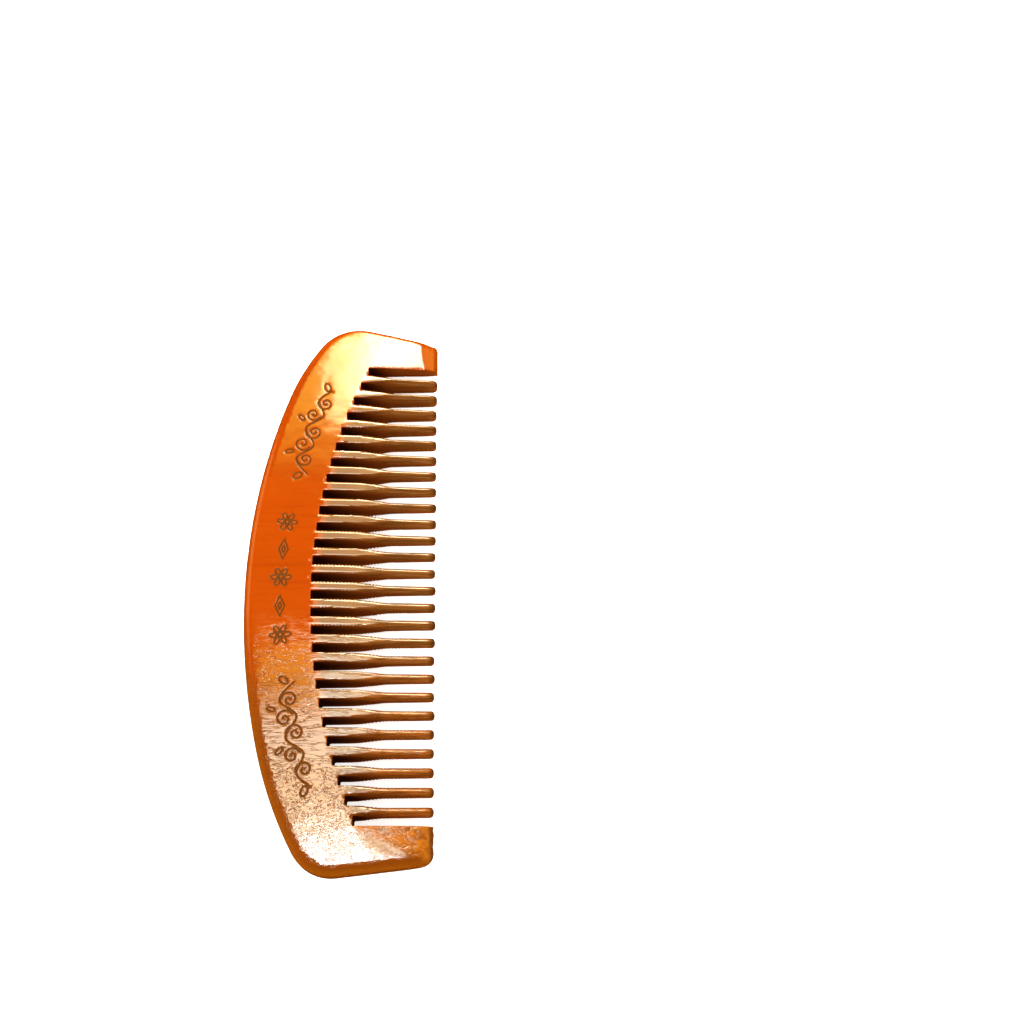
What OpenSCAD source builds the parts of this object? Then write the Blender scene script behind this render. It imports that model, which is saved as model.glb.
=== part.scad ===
// Wooden comb, sawn and ground from one flat blank with a curved back.
// It lies on one face. X runs along the comb, Y from the tips of the teeth to the curved back.

/* [Body] */
// Width of the comb, from the tips of the teeth to the middle of the curved back
comb_w = 57; // [54:0.5:62]
// Thickness of the comb over its spine
comb_t = 9.4; // [8:0.2:11]
// Radius of the curved back
back_r = 205; // [190:1:220]
// Radius of the rounded edge around the back and the ends
edge_r = 2.8; // [1.5:0.1:3.5]

/* [Left end] */
// Distance from the middle of the back to the left end, along the line of the tips
left_l = 83.7; // [82:0.1:86]
// Lean of the left end towards the teeth, in degrees
left_lean = 5.9; // [4:0.1:12]
// Slope of the shoulder between the back and the left corner, in degrees
left_shoulder = 26.5; // [25:0.5:30]
// How far from the middle of the back the left shoulder starts
left_shoulder_x = 65; // [64:0.5:70]
// Radius of the left corner
left_corner_r = 12.5; // [9:0.5:16]
// Radius of the rounded corner at the tip of the left guard
left_tip_corner_r = 4; // [1:0.1:5]

/* [Right end] */
// Distance from the middle of the back to the right end, along the line of the tips
right_l = 83.1; // [82:0.1:86]
// Lean of the right end towards the teeth, in degrees
right_lean = 11.4; // [4:0.1:12]
// Slope of the shoulder between the back and the right corner, in degrees
right_shoulder = 29.5; // [27:0.5:32]
// How far from the middle of the back the right shoulder starts
right_shoulder_x = 69; // [66:0.5:70]
// Radius of the right corner
right_corner_r = 15.5; // [9:0.5:16]
// Radius of the rounded corner at the tip of the right guard
right_tip_corner_r = 1.4; // [1:0.1:5]

/* [Teeth] */
// Number of teeth between the two end guards
tooth_n = 26; // [20:1:26]
// Distance from one tooth to the next
pitch = 5.5; // [5:0.1:5.5]
// Width of the saw cut between two teeth
slot_w = 2.7; // [2:0.1:3]
// Depth of the middle saw cut
slot_depth = 37.2; // [33:0.1:40]
// Radius of the arc on which the saw cuts end
root_r = 180; // [160:1:220]
// Shift of the row of teeth from the middle of the comb
row_shift = -0.5; // [-2:0.1:2]

/* [Tips] */
// Thickness of the middle teeth at their tips
tip_t = 3.6; // [3.4:0.1:4.6]
// Radius of the rounded end of each tooth
tip_r = 1.9; // [1.8:0.1:2.3]
// Thickness of each end guard at its tip
guard_tip_t = 4; // [3.6:0.1:4]
// Angle of the bevel at the tip of each end guard, in degrees
bevel_angle = 18; // [12:1:19]
// Thickness left at the outer corner of each guard's tip, where its edge is eased
facet_t = 1.6; // [1.2:0.1:2.4]

/* [Hidden] */
wood_colour = [0.87, 0.42, 0.08];
$fn = 96;
half_t = comb_t / 2;
tooth_w = pitch - slot_w;
slot_n = tooth_n + 1;
// Room that a cutting body has past the surface that it cuts
over = 4;
// How far each rounded edge stands above the face that trims it, so that the two cross
edge_lift = 0.05;
// How far a corner's disc stands proud of the edges that it joins, so that they cross
corner_proud = 0.15;
// How far a tip corner's post stands proud of the edges that it joins
tip_corner_proud = 0.1;
// Radius of the rounding of the guards' tips, and how much of it their end cuts away
nose_r = 3;
nose_cut = 0.15;
// The eased edge at the tip of a guard: its slope, and how far it turns from the tips to the end
facet_slope = 30;
facet_turn = 59;
// Share of a tooth's length over which its edges are well rounded, and the crown left on its face
round_middle = 0.6;
round_crown = 0.15;

// The two ends. Columns: side (1 right, -1 left), reach along the tips, lean, shoulder slope,
// start of the shoulder, corner radius, tip corner radius
ENDS = [
    [1, right_l, right_lean, right_shoulder, right_shoulder_x, right_corner_r, right_tip_corner_r],
    [-1, left_l, left_lean, left_shoulder, left_shoulder_x, left_corner_r, left_tip_corner_r]
];
SIDE = 0;
TIP_X = 1;
LEAN = 2;
SHOULDER = 3;
SHOULDER_X = 4;
CORNER = 5;
TIP_CORNER = 6;

// Places in the plan have Y from the line of the tips, and each end is worked out as a right one
back_y = comb_w - back_r;
// Distance of the end's straight edge, and of the shoulder, from the origin of the plan
function end_reach(e) = e[TIP_X] * cos(e[LEAN]);
function shoulder_reach(e) =
    let (start_y = back_y + sqrt(back_r * back_r - e[SHOULDER_X] * e[SHOULDER_X]))
    e[SHOULDER_X] * sin(e[SHOULDER]) + start_y * cos(e[SHOULDER]);
// The corner's centre lies its radius inside both the end and the shoulder
function corner_centre(e) =
    let (
        from_end = end_reach(e) - e[CORNER],
        from_shoulder = shoulder_reach(e) - e[CORNER],
        spread = cos(e[LEAN] - e[SHOULDER])
    )
    [
        from_end * cos(e[SHOULDER]) + from_shoulder * sin(e[LEAN]),
        from_shoulder * cos(e[LEAN]) - from_end * sin(e[SHOULDER])
    ] / spread;
// The tip corner's centre lies its radius inside both the end and the line of the tips
function tip_corner_centre(e) = [
    (end_reach(e) - e[TIP_CORNER] + e[TIP_CORNER] * sin(e[LEAN])) / cos(e[LEAN]),
    e[TIP_CORNER]
];
function end_x(e) = corner_centre(e)[0] + e[CORNER] + corner_proud;
comb_middle = (end_x(ENDS[0]) - end_x(ENDS[1])) / 2;

// The saw cuts end on an arc about this point
root_centre = [row_shift, slot_depth - root_r];
function root_y(x) = root_centre[1] + sqrt(root_r * root_r - (x - root_centre[0]) * (x - root_centre[0]));
function slot_x(i) = row_shift + (i - (slot_n - 1) / 2) * pitch;
function tooth_x(i) = row_shift + (i - (tooth_n - 1) / 2) * pitch;
// Length of a tooth down to the shorter of the two saw cuts beside it
function tooth_l(i) = min(root_y(slot_x(i)), root_y(slot_x(i + 1)));

// From the arc of the roots the faces fall to the tips along a cone about the same point
face_slope = (half_t - tip_t / 2) / slot_depth;

module at_end(e) {
    mirror([e[SIDE] < 0 ? 1 : 0, 0, 0])
        children();
}

// Half section of an edge body, from its axis out to a rounded edge
module edge_section(reach, lift = edge_lift) {
    straight = half_t + lift - edge_r;
    translate([0, -half_t - lift])
        square([reach - edge_r, comb_t + 2 * lift]);
    translate([0, -straight])
        square([reach, 2 * straight]);
    for (side = [-1, 1])
        translate([reach - edge_r, side * straight])
            circle(r = edge_r);
}

// The curved back, with its rounded edge
module back_disc() {
    translate([0, back_y, 0])
        rotate_extrude($fn = 360)
            edge_section(back_r);
}

// All that lies inside a straight edge, whose outward side looks along an angle in the plan
module edge_slab(angle, reach) {
    length = 2 * back_r;
    rotate([0, 0, angle])
        rotate([90, 0, 0])
            translate([-length, 0, -length / 2])
                linear_extrude(height = length)
                    edge_section(reach + length);
}

// What comes off outside the arc of one corner
module corner_waste(e) {
    far = 3 * e[CORNER];
    from = -e[LEAN];
    to = 90 - e[SHOULDER];
    translate([corner_centre(e)[0], corner_centre(e)[1], 0])
        difference() {
            translate([0, 0, -comb_t])
                linear_extrude(height = 2 * comb_t)
                    polygon([
                        [0, 0],
                        far * [cos(from), sin(from)],
                        far * [cos((from + to) / 2), sin((from + to) / 2)],
                        far * [cos(to), sin(to)]
                    ]);
            rotate_extrude()
                edge_section(e[CORNER] + corner_proud, 2 * edge_lift);
        }
}

// What comes off outside the arc of one tip corner
module tip_corner_waste(e) {
    far = 3 * e[TIP_CORNER];
    centre = tip_corner_centre(e);
    translate([centre[0], centre[1], -comb_t])
        linear_extrude(height = 2 * comb_t)
            difference() {
                polygon([
                    [0, 0],
                    far * [0, -1],
                    far * [1, -1],
                    far * [cos(e[LEAN]), -sin(e[LEAN])]
                ]);
                circle(r = e[TIP_CORNER] + tip_corner_proud);
            }
}

// The falling faces, as a cone above and a cone below
module face_cones() {
    inner = root_r - slot_depth - over;
    outer = root_r + comb_w;
    inner_half_t = half_t - face_slope * (root_r - inner);
    outer_half_t = half_t + face_slope * (outer - root_r);
    translate([root_centre[0], root_centre[1], 0])
        rotate_extrude($fn = 360)
            polygon([
                [inner, -inner_half_t],
                [outer, -outer_half_t],
                [outer, outer_half_t],
                [inner, inner_half_t]
            ]);
}

// A bar along X with the given half profile in Y and Z, above and below
module bar(profile) {
    length = 4 * back_r;
    below = [for (i = [len(profile) - 1 : -1 : 0]) [profile[i][0], -profile[i][1]]];
    rotate([90, 0, 90])
        translate([0, 0, -length / 2])
            linear_extrude(height = length)
                polygon(concat(profile, below));
}

// The bevel that thins both guards to their tips
module tip_bevel() {
    rise = tan(bevel_angle);
    bar([
        [-over, guard_tip_t / 2 - over * rise],
        [comb_w + over, guard_tip_t / 2 + (comb_w + over) * rise]
    ]);
}

// The rounding of the guards' tips
module tip_nose() {
    middle_y = nose_r - nose_cut;
    bar([[middle_y, comb_t], [comb_w + over, comb_t]]);
    translate([0, middle_y, 0])
        rotate([0, 90, 0])
            cylinder(r = nose_r, h = 4 * back_r, center = true);
}

// The eased outer edge at the tip of one guard
module tip_facet(e) {
    rise = tan(facet_slope);
    far = 2 * back_r;
    translate([e[TIP_X], 0, 0])
        rotate([0, 0, facet_turn])
            bar([[-facet_t / 2 / rise, 0], [far, facet_t / 2 + far * rise]]);
}

// The blank, before its teeth are cut
module blank() {
    difference() {
        intersection() {
            translate([-back_r, 0, -half_t])
                cube([2 * back_r, comb_w + over, comb_t]);
            back_disc();
            face_cones();
            tip_bevel();
            tip_nose();
            at_end(ENDS[0])
                edge_slab(-ENDS[0][LEAN], end_reach(ENDS[0]));
            at_end(ENDS[1])
                edge_slab(-ENDS[1][LEAN], end_reach(ENDS[1]));
            at_end(ENDS[0])
                edge_slab(90 - ENDS[0][SHOULDER], shoulder_reach(ENDS[0]));
            at_end(ENDS[1])
                edge_slab(90 - ENDS[1][SHOULDER], shoulder_reach(ENDS[1]));
            at_end(ENDS[0])
                tip_facet(ENDS[0]);
            at_end(ENDS[1])
                tip_facet(ENDS[1]);
        }
        for (e = ENDS)
            at_end(e) {
                corner_waste(e);
                tip_corner_waste(e);
            }
    }
}

// One saw cut, square at its end
module slot(i) {
    depth = root_y(slot_x(i));
    translate([slot_x(i) - slot_w / 2, -over, -comb_t])
        cube([slot_w, depth + over, 2 * comb_t]);
}

// Half outline of one tooth turned about its own axis: a ball end, then a rounding that runs out
// over the corners of the tooth before its root
module tooth_lathe(length) {
    ball_l = 0.7 * tip_r;
    ball_edge = sqrt(tip_r * tip_r - (tip_r - ball_l) * (tip_r - ball_l));
    middle_l = round_middle * length;
    middle_half_t = half_t - (1 - round_middle) * (half_t - tip_t / 2);
    corner = norm([tooth_w / 2, half_t]);
    intersection() {
        translate([0, tip_r])
            circle(r = tip_r);
        square([tip_r, ball_l]);
    }
    polygon([
        [0, ball_l],
        [ball_edge, ball_l],
        [middle_half_t + round_crown, middle_l],
        [corner + round_crown, length],
        [0, length]
    ]);
}

// What comes off one tooth to round its edges and its tip
module tooth_waste(i) {
    reach = tooth_w / 2 + slot_w / 3;
    translate([tooth_x(i), 0, 0])
        difference() {
            translate([-reach, -over / 2, -comb_t])
                cube([2 * reach, 0.95 * tooth_l(i) + over / 2, 2 * comb_t]);
            rotate([-90, 0, 0])
                rotate_extrude()
                    tooth_lathe(tooth_l(i));
        }
}

module comb() {
    color(wood_colour)
        translate([-comb_middle, -comb_w / 2, half_t])
            difference() {
                blank();
                for (i = [0 : slot_n - 1])
                    slot(i);
                for (i = [0 : tooth_n - 1])
                    tooth_waste(i);
            }
}

comb();
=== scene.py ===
# Wooden comb: lacquered wood with a carved ornament along its spine, lying on a pale floor
import math
import random

import bpy
import numpy as np
from mathutils import Matrix, Vector, geometry

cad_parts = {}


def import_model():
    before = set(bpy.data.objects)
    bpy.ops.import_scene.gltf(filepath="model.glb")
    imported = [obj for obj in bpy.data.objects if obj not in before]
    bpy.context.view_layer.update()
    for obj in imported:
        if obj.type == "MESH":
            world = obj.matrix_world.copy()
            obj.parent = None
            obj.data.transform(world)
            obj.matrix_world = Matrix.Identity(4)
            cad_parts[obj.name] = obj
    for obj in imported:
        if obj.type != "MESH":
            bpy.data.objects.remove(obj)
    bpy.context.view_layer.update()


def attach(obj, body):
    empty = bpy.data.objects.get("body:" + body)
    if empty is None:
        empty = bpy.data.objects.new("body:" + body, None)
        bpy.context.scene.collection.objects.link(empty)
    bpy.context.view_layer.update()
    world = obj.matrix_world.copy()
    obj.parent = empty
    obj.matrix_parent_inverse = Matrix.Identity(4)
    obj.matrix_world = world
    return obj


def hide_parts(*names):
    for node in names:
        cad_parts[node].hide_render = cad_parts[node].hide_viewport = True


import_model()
MM = 0.001

# Stands for a distance or a height that is too large to matter, in millimetres
FAR = 99.0
# Lines that are further away than this aren't near
NEAR = 1

# The comb in millimetres. Plan places have X from the top of the curved back and Y from the tips.
COMB_W = 57.0
HALF_T = 4.7
# Where the middle of the whole comb lies along the plan's X
MIDDLE = 0.6846
EDGE_R = 2.8
# Spacing of the points along the back and the ends
STEP = 0.9

# The outline from the top of the back round each end: arcs as radius and heading at their end
RIGHT_ARCS = [(204.5, 17.7), (73.8, 34.3), (15.0, 102.4)]
RIGHT_TIP_R = 1.5
LEFT_ARCS = [(204.5, 14.6), (119.6, 29.4), (12.5, 95.9)]
LEFT_TIP_R = 3.6

# Teeth and saw cuts. The saw cuts end on an arc of radius ROOT_R.
TOOTH_N = 26
PITCH = 5.5
SLOT_W = 2.7
SLOT_DEPTH = 37.2
ROOT_R = 180.0
ROW_SHIFT = -0.5
ROOT_FILLET = 0.3
# How far the middle of that rounding lies from both walls, as a share of its radius
FILLET_MIDDLE = 0.3
SLOT_EDGE_R = 0.16
# How unevenly the teeth are cut: what their half width gains, and how far short they are
TOOTH_UNEVEN = (-0.06, 0.05)
TIP_SHORT = (0.05, 0.3)
# The rounded tip of a tooth: its length in plan, the power of its curve, and its length from the side
TIP_L = 1.45
TIP_POWER = 2.15
TIP_STEPS = 12
TIP_ROUND = 1.7
TIP_FLAT = 0.97
# A tooth's section is round near its tip, and turns square over this stretch from it. Near the root,
# over this stretch of the whole length, it is square in any case.
SQUARE_FROM_TIP = (14, 24)
SQUARE_AT_ROOT = (0.75, 1)
# The section: how much of its height is curved, and the power of that curve. Each is given for a
# square section and as what a round one adds.
CURVED = 0.04
CURVED_MORE = 0.9
CURVE_POWER = 7
CURVE_POWER_MORE = -5.3
# How far the tips of the left and the right guard waver, and the spacing of their points
LEFT_WAVE = 0.3
RIGHT_WAVE = 0.08
WAVE_STEP = 0.4
# Spacing of the rows of points along a tooth, and places across it as shares of its half width
ROW = 1.0
COLUMNS = [0.0, 0.3, 0.56, 0.77, 0.91, 0.98]

# The faces fall towards the tips from the arc of the roots, by one slope and then by a second one
# on top of it. FALL_BEND is how far below the arc the second one sets in, FALL_BLEND is the softness
# of that bend, and FALL_START is the stretch over which any of it may start.
FALL_FIRST = 0.033
FALL_MORE = 0.057
FALL_BEND = 6.5
FALL_BLEND = 3.0
FALL_START = (0, 4)

# Tips of the two end guards: the bevel that thins them, and the rounded nose in front of it
BEVEL_HALF_T = 2.4
BEVEL_SLOPE = math.tan(math.radians(18))
BEVEL_BLEND = 0.25
NOSE_R = 3.0
NOSE_Y = 2.85
NOSE_BLEND = 0.1
# Half the width of the row of saw cuts, where the guards begin
GUARD_X = TOOTH_N / 2 * PITCH + SLOT_W / 2
# The inner edge of each guard is well rounded on its underside: the width and depth of that, the
# stretch from the tips over which it runs out, and the most that it takes, as a share of the height
UNDER_W = 4.6
UNDER_DEEP = 5.0
UNDER_END = (24, 15)
UNDER_MOST = 1.2
# The left guard falls less than the rest on the outer side of a slanting line, and more on its inner
# side: shares of the even fall, and the stretch across the line over which it changes
TWIST_FROM = (-74.8, 22.2)
TWIST_TO = (-83.4, 2.2)
TWIST_LEAST = 0.35
TWIST_MORE = 0.85
TWIST_BLEND = (-2, 4)
# That inner side is worn: the stretches across the line, and from the tips, over which the wear fades
WORN_BLEND = (-0.5, 2.5)
WORN_END = (24, 20)


def root_y(x):
    """Distance from the tips of the arc on which the saw cuts end."""
    return SLOT_DEPTH - ROOT_R + np.sqrt(ROOT_R ** 2 - (x - ROW_SHIFT) ** 2)


def slot_x(i):
    """Middle of a saw cut, from 0 at the left."""
    return ROW_SHIFT + (i - TOOTH_N / 2) * PITCH


def tooth_x(i):
    """Middle of a tooth, from 0 at the left."""
    return ROW_SHIFT + (i - (TOOTH_N - 1) / 2) * PITCH


def smooth_step(low, high, value):
    """From 0 to 1 while the value goes from low to high, with soft ends."""
    t = np.clip((value - low) / (high - low), 0, 1)
    return t * t * (3 - 2 * t)


def smooth_min(a, b, width):
    """The smaller of two values, blended where they are less than a width apart."""
    mix = np.clip(0.5 + 0.5 * (b - a) / width, 0, 1)
    return b * (1 - mix) + a * mix - width * mix * (1 - mix)


def tooth_shapes():
    """Half width and place of the tip of each tooth, a little uneven as in hand work."""
    rng = random.Random(7)
    shapes = []
    for _ in range(TOOTH_N):
        half_w = (PITCH - SLOT_W) / 2 + rng.uniform(*TOOTH_UNEVEN)
        tip = rng.uniform(*TIP_SHORT)
        shapes.append((half_w, tip))
    return shapes


TEETH = tooth_shapes()


def half_outline(arcs, tip_r):
    """From the top of the back round one end to the line of the tips, with X outwards."""
    x = 0.0
    y = COMB_W
    heading = 0.0
    lean = math.radians(arcs[-1][1] - 90)
    points = [(x, y)]

    def turn(radius, end):
        """Goes on along an arc up to a heading in degrees."""
        nonlocal x, y, heading
        sweep = math.radians(end) - heading
        steps = max(4, int(radius * sweep / STEP))
        part = sweep / steps
        chord = 2 * radius * math.sin(part / 2)
        for k in range(steps):
            along = heading + (k + 0.5) * part
            x += chord * math.cos(along)
            y -= chord * math.sin(along)
            points.append((x, y))
        heading = math.radians(end)

    for radius, end in arcs:
        turn(radius, end)
    straight = y / math.cos(lean) - tip_r * math.tan((math.pi - heading) / 2)
    steps = int(straight / STEP)
    for k in range(steps):
        x -= math.sin(lean) * straight / steps
        y -= math.cos(lean) * straight / steps
        points.append((x, y))
    turn(tip_r, 180)
    return points


RIGHT_LINE = np.array(half_outline(RIGHT_ARCS, RIGHT_TIP_R))
LEFT_LINE = np.array(half_outline(LEFT_ARCS, LEFT_TIP_R)) * [-1, 1]


def guard_tip(start, end, wave):
    """The end edge of one guard along the line of the tips, a little wavy."""
    points = []
    for x in np.arange(start + WAVE_STEP, end - WAVE_STEP / 2, WAVE_STEP):
        level = math.sin(2.1 * x) * math.sin(0.83 * x + 1)
        points.append((x, wave * (0.5 + 0.5 * level)))
    return points


def row_count(end):
    """Number of rows of points along a tooth or a saw cut that ends at this distance from the tips."""
    return int((end - 2) / ROW)


def slot_outline():
    """The saw cuts and the ends of the teeth, from the left guard to the right one."""
    points = guard_tip(LEFT_LINE[-1][0], -GUARD_X + ROW_SHIFT, LEFT_WAVE)
    for i in range(TOOTH_N + 1):
        left = slot_x(i) - SLOT_W / 2
        right = slot_x(i) + SLOT_W / 2
        left_tip = 0.0
        right_tip = 0.0
        if i > 0:
            left = tooth_x(i - 1) + TEETH[i - 1][0]
            left_tip = TEETH[i - 1][1] + TIP_L
        if i < TOOTH_N:
            right = tooth_x(i) - TEETH[i][0]
            right_tip = TEETH[i][1] + TIP_L
        end = float(root_y(slot_x(i)))
        rows = row_count(end)
        points += [(left, y) for y in np.linspace(left_tip, end - ROOT_FILLET, rows)]
        bend = FILLET_MIDDLE * ROOT_FILLET
        points.append((left + bend, end - bend))
        points += [(x, end) for x in np.linspace(left + ROOT_FILLET, right - ROOT_FILLET, 4)]
        points.append((right - bend, end - bend))
        points += [(right, y) for y in np.linspace(end - ROOT_FILLET, right_tip, rows)]
        if i < TOOTH_N:
            points += tip_outline(i)
    return points + guard_tip(GUARD_X + ROW_SHIFT, RIGHT_LINE[-1][0], RIGHT_WAVE)


def tip_outline(i):
    """The rounded end of one tooth in plan, from its left side to its right one."""
    half_w, tip = TEETH[i]
    points = []
    for k in range(1, TIP_STEPS):
        angle = math.pi * k / TIP_STEPS
        across = math.copysign(abs(math.cos(angle)) ** (2 / TIP_POWER), -math.cos(angle))
        along = 1 - math.sin(angle) ** (2 / TIP_POWER)
        points.append((tooth_x(i) + half_w * across, tip + TIP_L * along))
    return points


def distance(points, line):
    """Distance of each point from a line of many short pieces."""
    start = line[:-1]
    end = line[1:]
    best = np.full(len(points), 1e9)
    for a, b in zip(start, end):
        along = b - a
        length = max(float(along @ along), 1e-12)
        t = np.clip(((points - a) @ along) / length, 0, 1)
        gap = points - a - t[:, None] * along
        best = np.minimum(best, np.einsum("ij,ij->i", gap, gap))
    return np.sqrt(best)


def distance_to_many(points, lines):
    """Distance of each point from the nearest of several lines, or FAR where none is near."""
    best = np.full(len(points), FAR)
    for line in lines:
        near = np.all((points > line.min(0) - NEAR) & (points < line.max(0) + NEAR), axis=1)
        if near.any():
            best[near] = np.minimum(best[near], distance(points[near], line))
    return best


SLOT_LINE = np.array(slot_outline())
BACK_LINE = np.vstack([RIGHT_LINE[::-1], LEFT_LINE[1:]])


def past_twist(x, y):
    """Distance of a place from the slanting line of the left guard, towards the teeth."""
    run = np.subtract(TWIST_TO, TWIST_FROM)
    return ((x - TWIST_FROM[0]) * -run[1] + (y - TWIST_FROM[1]) * run[0]) / np.hypot(*run)


def worn(x, y):
    """Where the lacquer is thin: the inner face of the left guard."""
    on_guard = smooth_step(*WORN_END, y) * (x < -GUARD_X + 1)
    return on_guard * smooth_step(*WORN_BLEND, past_twist(x, y))


def fall(x, y):
    """How far the face lies below its highest level, before bevels and roundings."""
    below = ROOT_R - np.hypot(x - ROW_SHIFT, y - SLOT_DEPTH + ROOT_R)
    more = below - FALL_BEND
    more = 0.5 * (more + np.sqrt(more ** 2 + FALL_BLEND ** 2))
    depth = FALL_FIRST * np.clip(below, 0, None)
    depth += np.where(below > 0, FALL_MORE * more * smooth_step(*FALL_START, below), 0)
    twist = TWIST_LEAST + TWIST_MORE * smooth_step(*TWIST_BLEND, past_twist(x, y))
    return np.where(x < -GUARD_X - 0.1, depth * twist, depth)


def under_round(x, y, height):
    """How much the rounded inner edge of each guard takes off its underside."""
    from_side = np.abs(x - ROW_SHIFT) - GUARD_X
    inside = np.clip(1 - from_side / UNDER_W, 0, 1)
    deep = np.minimum(UNDER_DEEP * smooth_step(*UNDER_END, y), UNDER_MOST * height)
    return np.where(from_side > -0.01, deep * (1 - np.sqrt(1 - inside ** 2)), 0)


def guard_height(x, y, from_back):
    """Height of the spine and the end guards over the middle of the comb's thickness."""
    height = HALF_T - fall(x, y)
    at_guard = np.abs(x - ROW_SHIFT) > GUARD_X - 1
    bevel = BEVEL_HALF_T + np.clip(y, 0, None) * BEVEL_SLOPE
    height = np.where(at_guard, smooth_min(height, bevel, BEVEL_BLEND), height)
    nose = np.sqrt(np.clip(NOSE_R ** 2 - np.clip(NOSE_Y - y, 0, None) ** 2, 0.3, None))
    nose = np.where(y < NOSE_Y, nose, FAR)
    height = np.where(at_guard, smooth_min(height, nose, NOSE_BLEND), height)
    # The rounded edge takes nearly the whole height, and gets narrower where the comb is thin
    deep = np.clip(height - 0.25, 0.1, EDGE_R)
    wide = np.clip(deep, 1.2, EDGE_R)
    inside = np.clip(1 - from_back / wide, 0, 1)
    return height - deep * (1 - np.sqrt(1 - inside ** 2))


def tooth_height(x, y, i):
    """Height of one tooth: square in section at its root, and rounded towards its tip."""
    half_w, tip = TEETH[i]
    across = np.clip(np.abs(x - tooth_x(i)) / half_w, 0, 1)
    length = root_y(tooth_x(i)) - tip
    along = np.clip((y - tip) / length, 0, 1)
    body = HALF_T - fall(x, y)
    rounded = 1 - smooth_step(*SQUARE_FROM_TIP, y - tip)
    rounded *= 1 - smooth_step(*SQUARE_AT_ROOT, along)
    cap = CURVED + CURVED_MORE * rounded
    power = CURVE_POWER + CURVE_POWER_MORE * rounded
    section = (1 - cap) + cap * (1 - across ** power) ** (1 / power)
    from_tip = np.clip((TIP_ROUND - (y - tip)) / TIP_ROUND, 0, 1)
    nose = np.sqrt(np.clip(1 - TIP_FLAT * from_tip ** 2, 0, None))
    return body * section * nose


# The carved ornament. Strokes are drawn along an arc in the middle of the spine, which has its top at
# SPINE_TOP: U runs along it and V across to the back.
SPINE_R = 191.5
SPINE_TOP = 46.2
GROOVE_DEPTH = 0.06
GROOVE_HALF_W = 0.28
STROKE_STEP = 0.24
PETAL_STEPS = 16
LOZENGE_STEPS = 6


def on_spine(u, v):
    """The place in the plan of a point of the ornament."""
    angle = u / SPINE_R
    radius = SPINE_R + v
    return (ROW_SHIFT + radius * math.sin(angle), SPINE_TOP - SPINE_R + radius * math.cos(angle))


def curl(centre, radius, start, turns, shrink=0.12):
    """A spiral stroke from its outside in. Its start is an angle in degrees."""
    steps = max(12, int(abs(turns) * 40))
    points = []
    for k in range(steps + 1):
        t = k / steps
        angle = math.radians(start + 360 * turns * t)
        r = radius * (1 - (1 - shrink) * t)
        points.append((centre[0] + r * math.cos(angle), centre[1] + r * math.sin(angle)))
    return points


def sweep(points, steps=10):
    """A smooth stroke through a few points."""
    line = [points[0]] + list(points) + [points[-1]]
    out = []
    for a, b, c, d in zip(line, line[1:], line[2:], line[3:]):
        for k in range(steps):
            t = k / steps
            out.append(tuple(
                0.5 * (2 * b[n] + (c[n] - a[n]) * t
                       + (2 * a[n] - 5 * b[n] + 4 * c[n] - d[n]) * t * t
                       + (3 * b[n] - a[n] - 3 * c[n] + d[n]) * t ** 3)
                for n in range(2)
            ))
    return out + [points[-1]]


def petal(centre, angle, near, far, width):
    """A closed leaf-shaped stroke that points away from a centre."""
    points = []
    for k in range(PETAL_STEPS + 1):
        t = 2 * math.pi * k / PETAL_STEPS
        along = near + (far - near) * (0.5 - 0.5 * math.cos(t))
        across = width * math.sin(t)
        a = math.radians(angle)
        points.append((
            centre[0] + along * math.cos(a) - across * math.sin(a),
            centre[1] + along * math.sin(a) + across * math.cos(a)
        ))
    return points


def scroll(middle, side):
    """A wavy stem with five curls and four leaves."""
    strokes = [
        sweep([(-15, -2.6), (-10.5, 1.8), (-5, -2.2), (0.5, 1.9), (6, -2.0), (11, 1.2), (15.5, -1.2)]),
        curl((-10.2, -0.9), 2.6, 75, 1.45),
        curl((-0.3, -1.0), 2.7, 80, 1.5),
        curl((10.6, -1.1), 2.4, 95, 1.35),
        curl((-5.0, 1.3), 2.6, 255, -1.4),
        curl((5.8, 1.3), 2.4, 265, -1.4),
        petal((-14.6, -1.6), 135, 0.8, 3.6, 0.9),
        petal((14.6, -1.0), 40, 0.8, 3.8, 0.9),
        petal((2.9, 3.2), 60, 0.2, 2.6, 0.6),
        petal((-7.9, 3.3), 115, 0.2, 2.6, 0.6)
    ]
    return [[on_spine(middle + side * u, v) for u, v in stroke] for stroke in strokes]


def rosette(middle, radius, petals):
    """A ring of petals round a small circle."""
    strokes = [
        petal((middle, 0), 360 * k / petals + 90, 0.45 * radius, 1.35 * radius, 0.3 * radius)
        for k in range(petals)
    ]
    strokes.append(curl((middle, 0), 0.28 * radius, 0, 1, shrink=1))
    return [[on_spine(u, v) for u, v in stroke] for stroke in strokes]


def lozenge(middle, long, wide):
    """A diamond on the spine, given by its half length and half width."""
    corners = [(middle - long, 0), (middle, wide), (middle + long, 0), (middle, -wide)]
    line = []
    for a, b in zip(corners, corners[1:] + corners[:1]):
        for k in range(LOZENGE_STEPS):
            x = a[0] + (b[0] - a[0]) * k / LOZENGE_STEPS
            y = a[1] + (b[1] - a[1]) * k / LOZENGE_STEPS
            line.append((x, y))
    line.append(corners[0])
    return [[on_spine(u, v) for u, v in line]]


def ornament():
    """A vine near each end of the spine, and rosettes with diamonds between them."""
    strokes = scroll(50, 1) + scroll(-48, -1)
    for middle in (-18, 0, 18):
        strokes += rosette(middle, 2.2, 6)
    for middle in (-9, 9):
        strokes += lozenge(middle, 3.2, 1.4)
        strokes += lozenge(middle, 1.2, 0.5)
    return [resample(np.array(stroke), STROKE_STEP) for stroke in strokes]


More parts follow.
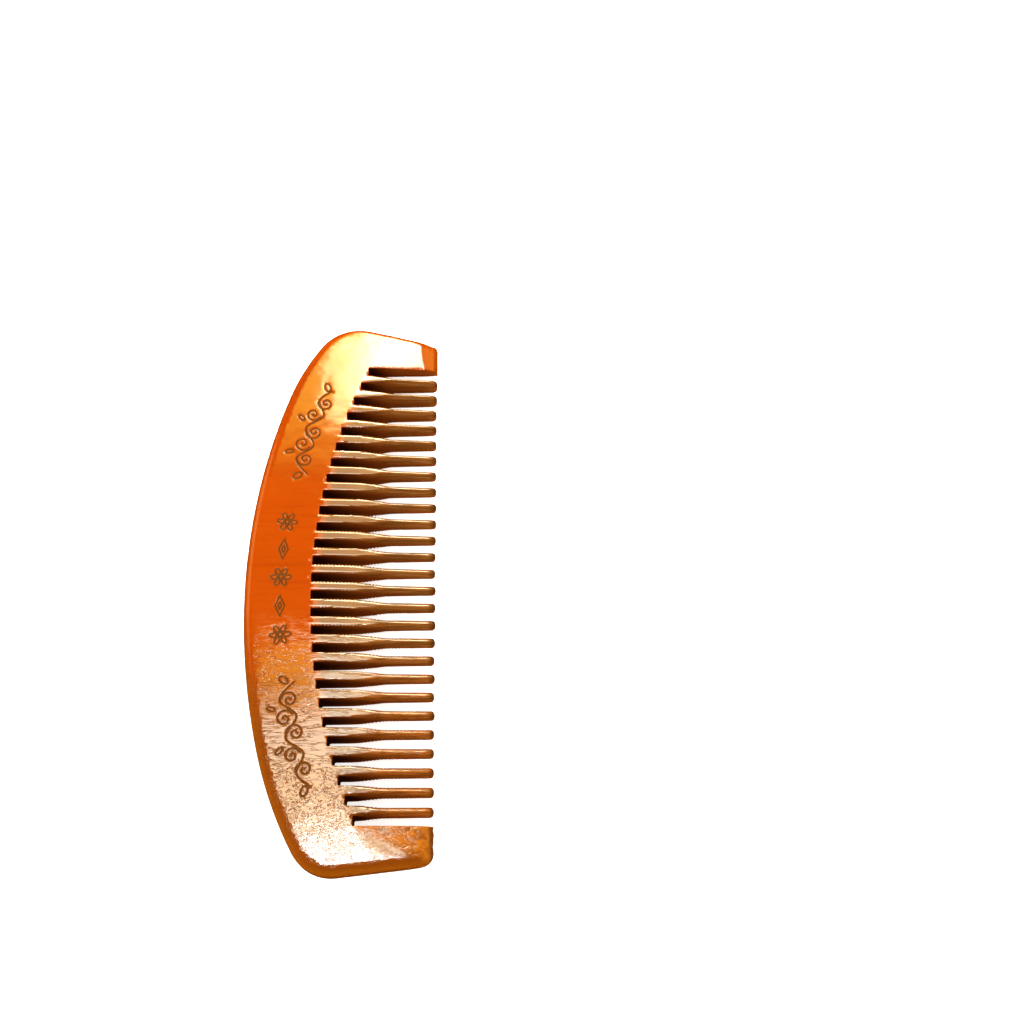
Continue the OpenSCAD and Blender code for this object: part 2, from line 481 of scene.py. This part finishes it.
def resample(line, spacing):
    """The same line with its points evenly spaced."""
    lengths = np.linalg.norm(np.diff(line, axis=0), axis=1)
    reach = np.concatenate([[0], np.cumsum(lengths)])
    count = max(3, int(reach[-1] / spacing))
    at = np.linspace(0, reach[-1], count)
    return np.stack([np.interp(at, reach, line[:, 0]), np.interp(at, reach, line[:, 1])], axis=1)


STROKES = ornament()


def inside_outline(points):
    """Whether each point lies inside the back, the ends and the line of the tips."""
    loop = np.vstack([BACK_LINE, BACK_LINE[:1]])
    inside = np.zeros(len(points), bool)
    for a, b in zip(loop, loop[1:]):
        spans = (a[1] > points[:, 1]) != (b[1] > points[:, 1])
        run = b[1] - a[1] if b[1] != a[1] else 1e-9
        crossing = a[0] + (b[0] - a[0]) * (points[:, 1] - a[1]) / run
        inside ^= spans & (points[:, 0] < crossing)
    return inside


def sideways(line, least=0.0):
    """Unit steps to the left of a line at each of its points."""
    along = np.gradient(line, axis=0)
    side = np.stack([-along[:, 1], along[:, 0]], axis=1)
    return side / (np.linalg.norm(side, axis=1)[:, None] + least)


# Half the stretch along the comb that is filled with points, and the spacings of the points
HALF_SPAN = 88
GRID_STEP = 1.1
GRID_ROW = 1.0
NOSE_STEP = 0.8
# Rows across the tips of the guards, as distances from the line of the tips
NOSE_ROWS = [0.07, 0.25, 0.5, 0.8, 1.2, 1.65, 2.2]
# Rows across the tip of a tooth, as distances from its end
TIP_ROWS = [0.15, 0.4, 0.7, 1.0]
# Rows beside the saw cuts and inside the inner sides of the guards, as distances from them
RIM_ROWS = [0.07, SLOT_EDGE_R, 0.36]
GUARD_ROWS = [0.4, 0.9, 1.5, 2.3]
# Rows across a groove, as distances from its middle, and room that other points leave round it
GROOVE_ROWS = [-0.42, -0.26, -0.13, 0.0, 0.13, 0.26, 0.42]
GROOVE_ROOM = 0.55
# Points of grooves that share a cell of this size become one
CELL = 0.1
# Room that the points inside the outline leave to the back and the ends, and to the saw cuts
BACK_ROOM = 0.03
SLOT_ROOM = 0.05


def edge_rings():
    """Rows of points along the rounded edge of the back and the ends."""
    rings = []
    inwards = sideways(BACK_LINE)
    for degrees in range(12, 90, 11):
        depth = EDGE_R * (1 - math.cos(math.radians(degrees)))
        ring = BACK_LINE + inwards * depth
        keep = (distance(ring, BACK_LINE) > depth - 0.02) & (ring[:, 1] > 0.1)
        rings.append(ring[keep])
    return rings


def face_points():
    """A staggered grid over the faces, and closer rows across the tips of the guards."""
    xs = np.arange(-HALF_SPAN, HALF_SPAN + 0.5, GRID_STEP)
    ys = np.arange(GRID_ROW / 2, COMB_W, GRID_ROW)
    grid = [(x + GRID_STEP / 2 * (j % 2), y) for j, y in enumerate(ys) for x in xs]
    xs = [x for x in np.arange(-HALF_SPAN, HALF_SPAN, NOSE_STEP) if abs(x - ROW_SHIFT) > GUARD_X]
    return [np.array(grid), np.array([(x, y) for y in NOSE_ROWS for x in xs])]


def rim_points():
    """Rows of points beside the saw cuts and inside the inner sides of the guards."""
    side = sideways(SLOT_LINE)
    rims = [SLOT_LINE + side * depth for depth in RIM_ROWS]
    for depth in GUARD_ROWS:
        for end in (-1, 1):
            edge_x = ROW_SHIFT + end * (GUARD_X + depth)
            rims.append(np.array([(edge_x, y) for y in np.arange(1, 23, 1.0)]))
    rims = np.vstack(rims)
    on_guard = np.abs(rims[:, 0] - ROW_SHIFT) > GUARD_X
    on_body = rims[:, 1] > root_y(rims[:, 0])
    rims = rims[(on_guard | on_body) & inside_outline(rims)]
    return rims[distance(rims, SLOT_LINE) > SLOT_ROOM]


def groove_points():
    """Rows of points along the strokes of the ornament, sparser in the outermost rows."""
    points = []
    for line in STROKES:
        side = sideways(line, 1e-9)
        for offset in GROOVE_ROWS:
            ring = line + side * offset
            if abs(offset) > GROOVE_HALF_W:
                ring = ring[::2]
            points.append(ring)
    cells = {}
    for p in np.vstack(points):
        cells.setdefault((round(p[0] / CELL), round(p[1] / CELL)), p)
    return np.array(list(cells.values()))


def tooth_points():
    """Rows of points across each tooth, closer together at its tip."""
    points = []
    for i in range(TOOTH_N):
        half_w, tip = TEETH[i]
        end = float(root_y(tooth_x(i)))
        rows = list(np.linspace(tip + TIP_L, end, row_count(end) + 1))
        near_tip = [tip + t for t in TIP_ROWS]
        for y in near_tip + rows:
            from_tip = max(0.0, 1 - (y - tip) / TIP_L)
            width = half_w * (1 - from_tip ** TIP_POWER) ** (1 / TIP_POWER)
            for share in COLUMNS:
                points.append((tooth_x(i) + width * share, y))
                if share > 0:
                    points.append((tooth_x(i) - width * share, y))
    return np.array(points)


def inner_points():
    """Places for the mesh inside the outline, closer together where the form bends."""
    cloud = np.vstack(edge_rings() + face_points())
    in_body = cloud[:, 1] > root_y(cloud[:, 0]) + 0.2
    in_guard = np.abs(cloud[:, 0] - ROW_SHIFT) > GUARD_X + 0.15
    cloud = cloud[(in_body | in_guard) & inside_outline(cloud)]
    cloud = cloud[distance(cloud, BACK_LINE) > BACK_ROOM]
    cloud = cloud[distance(cloud, SLOT_LINE) > SLOT_ROOM]
    cloud = cloud[distance_to_many(cloud, STROKES) > GROOVE_ROOM]
    return np.vstack([cloud, rim_points(), groove_points(), tooth_points()])


def plan_mesh():
    """The plan cut into triangles: its corners, and its faces as triples of them."""
    outline = np.vstack([LEFT_LINE, SLOT_LINE, RIGHT_LINE[::-1][:-1]])
    corners = [Vector(p) for p in np.vstack([outline, inner_points()])]
    edges = [(k, (k + 1) % len(outline)) for k in range(len(outline))]
    result = geometry.delaunay_2d_cdt(corners, edges, [], 1, 1e-5)
    places = np.array([tuple(v) for v in result[0]])
    return places, [tuple(f) for f in result[2]]


def heights(places):
    """Height of each place over the middle of the thickness, and its tooth, or -1 for none."""
    x = places[:, 0]
    y = places[:, 1]
    height = guard_height(x, y, distance(places, BACK_LINE))
    inside = np.clip(SLOT_EDGE_R - distance(places, SLOT_LINE), 0, None)
    easing = SLOT_EDGE_R - np.sqrt(SLOT_EDGE_R ** 2 - inside ** 2)
    height = height - easing
    tooth = np.full(len(places), -1)
    for i in range(TOOTH_N):
        end = np.where(x < tooth_x(i), root_y(slot_x(i)), root_y(slot_x(i + 1)))
        mine = (np.abs(x - tooth_x(i)) < PITCH / 2) & (y <= end + 1e-6)
        mine &= np.abs(x - tooth_x(i)) < TEETH[i][0] + 1e-3
        height[mine] = tooth_height(x[mine], y[mine], i)
        tooth[mine] = i
    return height, tooth


# Each upright wall has a narrow band along its top and its bottom, which keeps its shading off the
# faces: the band's width, and the most that it takes, as a share of the height there
LIP = 0.12
LIP_SHARE = 0.4
# Stretch along the comb, between two fades, where the edges of the saw cuts are dull
DULL_RIGHT = (68, 58)
DULL_LEFT = (-40, -20)


def open_sides(faces):
    """The sides of triangles that no other triangle shares, each in its triangle's direction."""
    sides = set()
    for a, b, c in faces:
        sides.update(((a, b), (b, c), (c, a)))
    return [(a, b) for a, b in sides if (b, a) not in sides]


def wall_faces(sides, levels):
    """Faces between the upper and the lower face, along their open sides. The levels are four lists
    of points, from the top down, that give each corner of the plan a point."""
    walls = []
    for a, b in sides:
        for upper, lower in zip(levels, levels[1:]):
            walls.append((upper[b], upper[a], lower[a], lower[b]))
    return walls


def comb_mesh():
    """The comb as one closed mesh: the plan's faces above and below, with walls between them."""
    places, faces = plan_mesh()
    height, tooth = heights(places)
    groove = distance_to_many(places, STROKES) / GROOVE_HALF_W
    x = (places[:, 0] - MIDDLE) * MM
    y = (places[:, 1] - COMB_W / 2) * MM
    carved = GROOVE_DEPTH * smooth_step(1.15, 0, groove)
    top = np.stack([x, y, (HALF_T + height - carved) * MM], axis=1)
    under = height - under_round(places[:, 0], places[:, 1], height)
    bottom = np.stack([x, y, (HALF_T - under) * MM], axis=1)

    sides = open_sides(faces)
    rim = sorted({k for side in sides for k in side})
    lip = np.minimum(LIP, LIP_SHARE * np.minimum(height, under)[rim].clip(0.05)) * MM
    drop = np.outer(lip, (0, 0, 1))
    count = len(places)
    levels = [
        range(count),
        {k: 2 * count + n for n, k in enumerate(rim)},
        {k: 2 * count + len(rim) + n for n, k in enumerate(rim)},
        range(count, 2 * count)
    ]
    underside = [(c + count, b + count, a + count) for a, b, c in faces]
    mesh = bpy.data.meshes.new("comb_wood")
    points = np.vstack([top, bottom, top[rim] - drop, bottom[rim] + drop]).tolist()
    mesh.from_pydata(points, [], list(faces) + underside + wall_faces(sides, levels))
    mesh.update()
    for name, values in surface_values(places, tooth, groove).items():
        attribute = mesh.attributes.new(name, "FLOAT", "POINT")
        everywhere = np.concatenate([values, values, values[rim], values[rim]])
        attribute.data.foreach_set("value", everywhere.astype(np.float32))
    mesh.shade_smooth()
    comb = bpy.data.objects.new("comb_wood", mesh)
    bpy.context.scene.collection.objects.link(comb)
    return comb


def surface_values(places, tooth, groove):
    """What the material reads at each place, from 0 to 1. The distance from the nearest groove is
    in halves of a groove's width."""
    from_slot = distance(places, SLOT_LINE)
    along = places[:, 0] - MIDDLE
    dull = smooth_step(*DULL_RIGHT, along) * smooth_step(*DULL_LEFT, along)
    near_body = (tooth < 0) | (places[:, 1] > root_y(places[:, 0]) - 0.8)
    return {
        "engrave": smooth_step(1.3, 0.6, groove),
        "carved": 0.85 * smooth_step(1.8, 1.0, groove),
        "worn": worn(places[:, 0], places[:, 1]),
        "to_root": np.clip(places[:, 1] / root_y(places[:, 0]), 0, 1),
        "slot_wall": (from_slot < 0.02).astype(float),
        "slot_rim": smooth_step(0.4, 0.2, from_slot) * dull * near_body,
        "on_tooth": (tooth >= 0).astype(float)
    }


class Nodes:
    """Short calls for building one material."""

    def __init__(self, name):
        self.material = bpy.data.materials.new(name)
        self.material.use_nodes = True
        self.tree = self.material.node_tree
        self.shader = self.tree.nodes["Principled BSDF"]

    def add(self, kind, **values):
        """A new node with the given settings."""
        node = self.tree.nodes.new(kind)
        for key, value in values.items():
            setattr(node, key, value)
        return node

    def link(self, source, target):
        """Feeds an input from another node, or sets it to a plain value."""
        if hasattr(source, "is_output"):
            self.tree.links.new(source, target)
        else:
            target.default_value = source

    def value(self, name):
        """One of the values that comb_mesh() keeps at each point."""
        return self.add("ShaderNodeAttribute", attribute_name=name).outputs["Fac"]

    def math(self, operation, a, *others):
        """One operation on two values, or the same one again with each value after them."""
        for b in others:
            node = self.add("ShaderNodeMath", operation=operation)
            self.link(a, node.inputs[0])
            self.link(b, node.inputs[1])
            a = node.outputs[0]
        return a

    def absolute(self, a):
        """A value without its sign."""
        node = self.add("ShaderNodeMath", operation="ABSOLUTE")
        self.link(a, node.inputs[0])
        return node.outputs[0]

    def part(self, vector, axis):
        """One part of a vector: 0 for X, 1 for Y, 2 for Z."""
        node = self.add("ShaderNodeSeparateXYZ")
        self.link(vector, node.inputs[0])
        return node.outputs[axis]

    def ramp(self, value, low, high, to_low=0.0, to_high=1.0):
        """A smooth step from one value to another, while the input goes from low to high."""
        node = self.add("ShaderNodeMapRange", interpolation_type="SMOOTHSTEP")
        for k, item in enumerate((value, low, high, to_low, to_high)):
            self.link(item, node.inputs[k])
        return node.outputs[0]

    def mix(self, factor, a, b):
        """A blend from one colour to another. These are the node's sockets for colours."""
        node = self.add("ShaderNodeMix", data_type="RGBA")
        self.link(factor, node.inputs[0])
        self.link(a, node.inputs[6])
        self.link(b, node.inputs[7])
        return node.outputs[2]

    def where(self):
        """The place on the comb, in metres from its middle."""
        return self.add("ShaderNodeTexCoord").outputs["Object"]

    def noise(self, scale, detail=2.0, rough=0.55, warp=0.0):
        """Noise from 0 to 1. The scale is in waves a metre for each axis."""
        place = self.add("ShaderNodeMapping", vector_type="POINT")
        self.link(self.where(), place.inputs["Vector"])
        place.inputs["Scale"].default_value = scale
        node = self.add("ShaderNodeTexNoise")
        self.link(place.outputs[0], node.inputs["Vector"])
        node.inputs["Scale"].default_value = 1.0
        node.inputs["Detail"].default_value = detail
        node.inputs["Roughness"].default_value = rough
        node.inputs["Distortion"].default_value = warp
        return node.outputs["Fac"]

    def bump(self, height, distance, strength=1.0, normal=None):
        """A normal bent by a relief. A height of 1 stands for the distance, in metres."""
        node = self.add("ShaderNodeBump")
        node.inputs["Distance"].default_value = distance
        self.link(strength, node.inputs["Strength"])
        self.link(height, node.inputs["Height"])
        if normal:
            self.link(normal, node.inputs["Normal"])
        return node.outputs[0]


# Colours of the wood, and of painted shade on it, as linear red, green, blue and alpha
ORANGE = (0.40, 0.05, 0.0005, 1)
DEEP_ORANGE = (0.335, 0.038, 0.0004, 1)
GRAIN_BROWN = (0.24, 0.024, 0.0003, 1)
LEFT_BROWN = (0.175, 0.042, 0.002, 1)
TOOTH_RIGHT = (0.25, 0.08, 0.012, 1)
TOOTH_LEFT = (0.36, 0.095, 0.01, 1)
# Painted shade at the rounded end of each tooth
TOOTH_TIP_SHADE = (0.06, 0.016, 0.003, 1)
TOOTH_ROOT = (0.15, 0.028, 0.002, 1)
TOOTH_STREAK = (0.085, 0.022, 0.002, 1)
# Painted shade on the rounded edge round the back and the ends
EDGE_SHADE_RIGHT = (0.2, 0.046, 0.0012, 1)
EDGE_SHADE_LEFT = (0.265, 0.06, 0.0016, 1)
# Sawn walls: browner wood near the tips, and painted shade deep in the saw cuts towards their roots
WALL_OUTER = (0.22, 0.05, 0.006, 1)
WALL_INNER_SHADE = (0.045, 0.006, 0.0006, 1)
# Painted shade on the end walls at the bottom of the saw cuts
SLOT_END_SHADE = (0.016, 0.003, 0.0004, 1)
CRACK = (0.10, 0.026, 0.001, 1)
THIN_LACQUER = (0.46, 0.125, 0.008, 1)
# Painted shade at the bevelled tip of the left guard's inner face
TIP_BEVEL_SHADE = (0.10, 0.028, 0.005, 1)
ENGRAVED = (0.10, 0.03, 0.003, 1)


def plain_wood(n, to_left):
    """The body's colour: grained orange that turns browner towards the left end."""
    broad = n.noise((25, 9, 25))
    grain = n.noise((900, 55, 900), detail=4, rough=0.6, warp=0.2)
    base = n.mix(n.ramp(broad, 0.35, 0.7), ORANGE, DEEP_ORANGE)
    base = n.mix(n.ramp(grain, 0.45, 0.8, 0, 0.4), base, GRAIN_BROWN)
    return n.mix(n.math("MULTIPLY", to_left, 0.8), base, LEFT_BROWN)


def tooth_wood(n, base, to_left, streak):
    """Adds the teeth's tan, with painted shade at the tips, dark roots and dark streaks along each
    tooth.
    """
    to_root = n.value("to_root")
    outer = n.mix(to_left, TOOTH_RIGHT, TOOTH_LEFT)
    # The last few millimetres of each tooth are darkened: painted shade of its rounded end
    colour = n.mix(n.ramp(to_root, 0.0, 0.08), TOOTH_TIP_SHADE, outer)
    colour = n.mix(n.ramp(to_root, 0.45, 0.85), colour, TOOTH_ROOT)
    base = n.mix(n.math("MULTIPLY", n.value("on_tooth"), n.ramp(to_root, 1.0, 0.9)), base, colour)
    return n.mix(streak, base, TOOTH_STREAK)


def edges_and_walls(n, base, to_left, level, wall):
    """Adds painted shade on the rounded edge round the comb, and the sawn walls, with painted shade
    deeper in the saw cuts and darkest at their ends.
    """
    to_root = n.value("to_root")
    # The rounded edge is darkened where its face slopes away from level: painted shade
    sloping = n.math("SUBTRACT", 1.0, n.ramp(level, 0.55, 0.995))
    outer = n.math("SUBTRACT", 1.0, n.math("MAXIMUM", n.value("slot_wall"), n.value("on_tooth")))
    edge = n.math("MULTIPLY", sloping, outer, n.math("ADD", to_left, 0.7), 0.8)
    base = n.mix(edge, base, n.mix(to_left, EDGE_SHADE_RIGHT, EDGE_SHADE_LEFT))
    # The walls are browner wood, darkening towards the roots with painted shade
    base = n.mix(wall, base, n.mix(n.ramp(to_root, 0.55, 1.0), WALL_OUTER, WALL_INNER_SHADE))
    # Near-black painted shade on the end walls of the saw cuts towards the left end
    slot_end_shade = n.math("MULTIPLY", wall, n.ramp(to_root, 0.97, 1.0), to_left)
    return n.mix(slot_end_shade, base, SLOT_END_SHADE)


def crackle_lines(n, along, crinkled):
    """Fine lines in the lacquer: strokes across the spine, and a finer net near the left end."""
    strokes = n.noise((1050, 150, 1050), rough=0.6, warp=0.7)
    net = n.noise((800, 420, 800), rough=0.6, warp=1.2)
    to_net = n.ramp(along, -0.045, -0.075)
    to_strokes = n.math("SUBTRACT", 1.0, to_net)
    ripple = n.math("ADD", n.math("MULTIPLY", strokes, to_strokes), n.math("MULTIPLY", net, to_net))
    line = n.ramp(n.absolute(n.math("SUBTRACT", ripple, 0.5)), 0.0, 0.036, 1.0, 0.0)
    fading = n.math("MAXIMUM", n.ramp(along, -0.066, -0.08, 1.0, 0.3), n.value("worn"))
    return n.math("MULTIPLY", line, crinkled, fading)


def wood_material():
    """Lacquered wood. The lacquer is smooth at the right end, and crackled at the left one. The
    limits along the comb are in metres from its middle."""
    n = Nodes("lacquered_wood")
    along = n.part(n.where(), 0)
    to_left = n.ramp(along, -0.01, -0.055)
    crinkled = n.ramp(along, -0.008, -0.044)
    to_root = n.value("to_root")
    level = n.absolute(n.part(n.add("ShaderNodeNewGeometry").outputs["True Normal"], 2))
    steep = n.math("SUBTRACT", 1.0, n.ramp(level, 0.1, 0.5))
    wall = n.math("MULTIPLY", n.value("slot_wall"), steep)
    streak = n.ramp(n.noise((1250, 26, 1250)), 0.46, 0.62)
    streak = n.math("MULTIPLY", streak, n.value("on_tooth"), n.ramp(to_root, 0.75, 0.5, 0.15, 0.6))
    line = crackle_lines(n, along, crinkled)
    mottle = n.ramp(n.noise((620, 300, 620), detail=4, warp=0.8), 0.34, 0.62, 0.2, 0.95)
    thin = n.math("MULTIPLY", n.value("worn"), mottle)

    base = tooth_wood(n, plain_wood(n, to_left), to_left, streak)
    base = edges_and_walls(n, base, to_left, level, wall)
    base = n.mix(n.math("MULTIPLY", line, 0.6), base, CRACK)
    base = n.mix(thin, base, THIN_LACQUER)
    # The tip of the left guard's inner face is darkened: painted shade of its bevel
    tip_bevel_shade = n.math("MULTIPLY", n.value("worn"), n.ramp(to_root, 0.11, 0.02, 0.0, 0.9))
    base = n.mix(tip_bevel_shade, base, TIP_BEVEL_SHADE)
    base = n.mix(n.value("engrave"), base, ENGRAVED)
    n.link(base, n.shader.inputs["Base Color"])

    # Where the lacquer is thin, cracked or cut through, it shines less
    sawn = n.math("MULTIPLY", n.value("slot_wall"), 0.6)
    cracked = n.math("MULTIPLY", line, 0.55)
    rubbed = n.math("MULTIPLY", thin, 0.8)
    matt = n.math("MAXIMUM", wall, n.value("slot_rim"), n.value("carved"), sawn, cracked, streak, rubbed)
    n.link(n.ramp(matt, 0, 1, 1.0, 0.0), n.shader.inputs["Coat Weight"])
    n.shader.inputs["Roughness"].default_value = 0.5
    n.shader.inputs["Coat Roughness"].default_value = 0.06
    n.shader.inputs["Coat IOR"].default_value = 1.5
    n.shader.inputs["Specular IOR Level"].default_value = 0.0

    # The lacquer's own waves, its cracks, and the worn face's lumps
    normal = n.bump(n.noise((140, 90, 140)), 0.00006)
    normal = n.bump(n.math("SUBTRACT", 1.0, line), 0.00003, normal=normal)
    normal = n.bump(n.noise((2600, 900, 2600)), 0.00001, strength=crinkled, normal=normal)
    normal = n.bump(mottle, 0.00009, strength=n.value("worn"), normal=normal)
    n.link(normal, n.shader.inputs["Normal"])
    n.link(normal, n.shader.inputs["Coat Normal"])
    return n.material


PAPER = (0.93, 0.93, 0.925, 1)
PALE_PAPER = (0.96, 0.96, 0.955, 1)
PAPER_GLOW = (1, 0.985, 0.95, 1)


def floor_material():
    """White paper that also glows a little, so that it shows white all over."""
    n = Nodes("pale_paper")
    n.link(n.mix(n.noise((300, 300, 300)), PAPER, PALE_PAPER), n.shader.inputs["Base Color"])
    n.shader.inputs["Roughness"].default_value = 0.9
    n.shader.inputs["Specular IOR Level"].default_value = 0.1
    n.shader.inputs["Emission Color"].default_value = PAPER_GLOW
    n.shader.inputs["Emission Strength"].default_value = 0.75
    return n.material


def floor():
    """A square of paper under the comb, 3 metres a side, that shows in no reflection."""
    half = 1.5
    corners = [(-half, -half, 0), (half, -half, 0), (half, half, 0), (-half, half, 0)]
    mesh = bpy.data.meshes.new("floor")
    mesh.from_pydata(corners, [], [(0, 1, 2, 3)])
    mesh.materials.append(floor_material())
    plane = bpy.data.objects.new("floor", mesh)
    bpy.context.scene.collection.objects.link(plane)
    plane.visible_glossy = False


# Tints of the lights
WHITE = (1, 1, 1)
PALE = (1, 1, 0.95)
PALE_END = (1, 1, 0.93)
CREAM = (1, 1, 0.75)
STRAW = (1, 0.9, 0.48)
DEEP_STRAW = (1, 0.9, 0.45)
HIGH_STRAW = (1, 0.9, 0.42)
YELLOW = (1, 0.84, 0.4)
GLOW = (1, 0.82, 0.06)
GOLD = (1, 0.72, 0.08)
SIDE_GOLD = (1, 0.72, 0.1)
BACK_GOLD = (1, 0.62, 0.2)
# Windows that show in the lacquer. Columns: name, direction in degrees, lowest and highest
# elevation in degrees, distance and width in millimetres, radiance, tint
WINDOWS = [
    ("window_right", -2.8, (22, 61), 1100, 250, 11, STRAW),
    ("window_wide", -2.8, (22, 62.6), 1105, 310, 9, DEEP_STRAW),
    ("window_core", -9.5, (34, 62.4), 1090, 332, 10, PALE),
    ("window_heart", -11.5, (38, 61.8), 1085, 300, 11, PALE),
    ("window_high", 7, (56.5, 61.5), 1105, 90, 8, HIGH_STRAW),
    ("window_side", -50, (25, 60), 1150, 500, 3, SIDE_GOLD),
    ("window_back", 66, (8, 42), 1100, 500, 2.3, BACK_GOLD)
]
# Panels overhead that show in the lacquer. Columns: name, span in X, span in Y and height in
# millimetres, radiance, tint
PANELS = [
    ("panel_middle", (290, 560), (-150, 45), 1000, 6, YELLOW),
    ("panel_gold", (225, 300), (60, 185), 1000, 5, GOLD),
    ("panel_left", (165, 295), (-150, 125), 1000, 16.2, CREAM),
    ("panel_slant", (165, 215), (125, 185), 1000, 16.2, CREAM)
]
# Lights for the wood under the lacquer, which show in no reflection. Columns: as for the windows
WOOD_LIGHTS = [
    ("key", 0, (30, 60), 420, 260, 13.5, WHITE),
    ("fill", 130, (15, 50), 700, 400, 3, WHITE)
]
# Lights in each stack. Their edges are stepped, so that together they fade softly.
STACK = 6
# The place near the comb's right end that the windows face, in millimetres
WINDOW_AIM = (70, 0, 9)


def area_light(name, width, height, radiance, tint):
    """A rectangular light of the given radiance, with its sides in metres."""
    light = bpy.data.lights.new(name, "AREA")
    light.shape = "RECTANGLE"
    light.size = width
    light.size_y = height
    light.energy = radiance * math.pi * light.size * light.size_y
    light.color = tint
    box = bpy.data.objects.new(name, light)
    bpy.context.scene.collection.objects.link(box)
    return box


def panel(name, x, y, height, radiance, tint):
    """A flat light that faces down and spans the given X and Y."""
    box = area_light(name, (x[1] - x[0]) * MM, (y[1] - y[0]) * MM, radiance, tint)
    box.location = Vector((sum(x) / 2, sum(y) / 2, height)) * MM
    return box


def window(name, direction, elevations, reach, width, radiance, tint):
    """A flat light turned to WINDOW_AIM, between two elevations seen from there."""
    middle = math.radians(sum(elevations) / 2)
    half = math.radians(elevations[1] - elevations[0]) / 2
    turn = math.radians(direction)
    box = area_light(name, width * MM, 2 * reach * math.tan(half) * MM, radiance, tint)
    outwards = Vector((
        math.cos(middle) * math.cos(turn),
        math.cos(middle) * math.sin(turn),
        math.sin(middle)
    ))
    box.location = (Vector(WINDOW_AIM) + outwards * reach) * MM
    box.rotation_euler = outwards.to_track_quat("Z", "Y").to_euler()
    return box


def lights():
    """Windows, panels and three stacks of them that show in the lacquer, and the wood's lights."""
    shown = [window(*row) for row in WINDOWS] + [panel(*row) for row in PANELS]
    for k in range(STACK):
        low = 30 * k - 120
        height = 1000 + k
        gold = (1, 0.8 + 0.035 * k, 0.38 + 0.06 * k)
        shown.append(panel(f"panel_end_{k}", (80, 165), (low, 180), height, 2.7, gold))
        shown.append(panel(f"panel_corner_{k}", (-60, 80), (low, 130), height, 8.4, PALE_END))
    for k in range(STACK):
        high = 61 + 0.95 * k
        reach = 1150 + 5 * k
        shown.append(window(f"glow_{k}", -2, (18, high), reach, 410 + 30 * k, 1.1, GLOW))
    for light in shown:
        light.visible_diffuse = False
    for row in WOOD_LIGHTS:
        window(*row).visible_glossy = False


def map_range(tree, value, from_range, to_range):
    """A straight change of a value from one range to another, held at the second one's ends."""
    node = tree.nodes.new("ShaderNodeMapRange")
    for name, (low, high) in (("From", from_range), ("To", to_range)):
        node.inputs[f"{name} Min"].default_value = low
        node.inputs[f"{name} Max"].default_value = high
    tree.links.new(value, node.inputs["Value"])
    return node.outputs[0]


def world():
    """White light from all round, strongest from the comb's right and near the horizon. It shows in
    no reflection."""
    scene_world = bpy.data.worlds.new("studio")
    scene_world.use_nodes = True
    tree = scene_world.node_tree
    white = tree.nodes["Background"]
    white.inputs["Color"].default_value = (1, 1, 1, 1)
    where = tree.nodes.new("ShaderNodeTexCoord")
    parts = tree.nodes.new("ShaderNodeSeparateXYZ")
    tree.links.new(where.outputs["Generated"], parts.inputs[0])
    stronger = tree.nodes.new("ShaderNodeMath")
    stronger.operation = "MAXIMUM"
    by_side = map_range(tree, parts.outputs[0], (-1, 1), (0.8, 1.5))
    by_level = map_range(tree, parts.outputs[2], (0.1, 0.3), (1.1, 0))
    tree.links.new(by_side, stronger.inputs[0])
    tree.links.new(by_level, stronger.inputs[1])
    tree.links.new(stronger.outputs[0], white.inputs["Strength"])
    scene_world.cycles_visibility.glossy = False
    bpy.context.scene.world = scene_world


# The camera: its place and lens in millimetres, and the directions of its right, its top and its back
CAMERA = (-128.235, -30.761, 337.053)
CAMERA_RIGHT = (-0.01941748, -0.99825703, 0.05573029)
CAMERA_UP = (0.91088462, 0.005318, 0.41262687)
CAMERA_BACK = (-0.41220405, 0.05877603, 0.90919371)
SENSOR = 36
LENS = 40.967
# Half a pixel of the picture, as a share of its width
HALF_PIXEL = 0.5 / 1024


def camera():
    """The camera at the photograph's viewing angle."""
    data = bpy.data.cameras.new("camera")
    data.sensor_width = SENSOR
    data.lens = LENS
    data.shift_x = -HALF_PIXEL
    data.shift_y = HALF_PIXEL
    data.clip_start = 0.01
    body = bpy.data.objects.new("camera", data)
    axes = Matrix((CAMERA_RIGHT, CAMERA_UP, CAMERA_BACK)).transposed()
    body.matrix_world = Matrix.Translation(Vector(CAMERA) * MM) @ axes.to_4x4()
    bpy.context.scene.collection.objects.link(body)
    bpy.context.scene.camera = body


camera()
world()
floor()
lights()
bpy.context.scene.view_settings.view_transform = "Standard"

comb = comb_mesh()
comb.data.materials.append(wood_material())
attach(comb, "root")
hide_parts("comb")
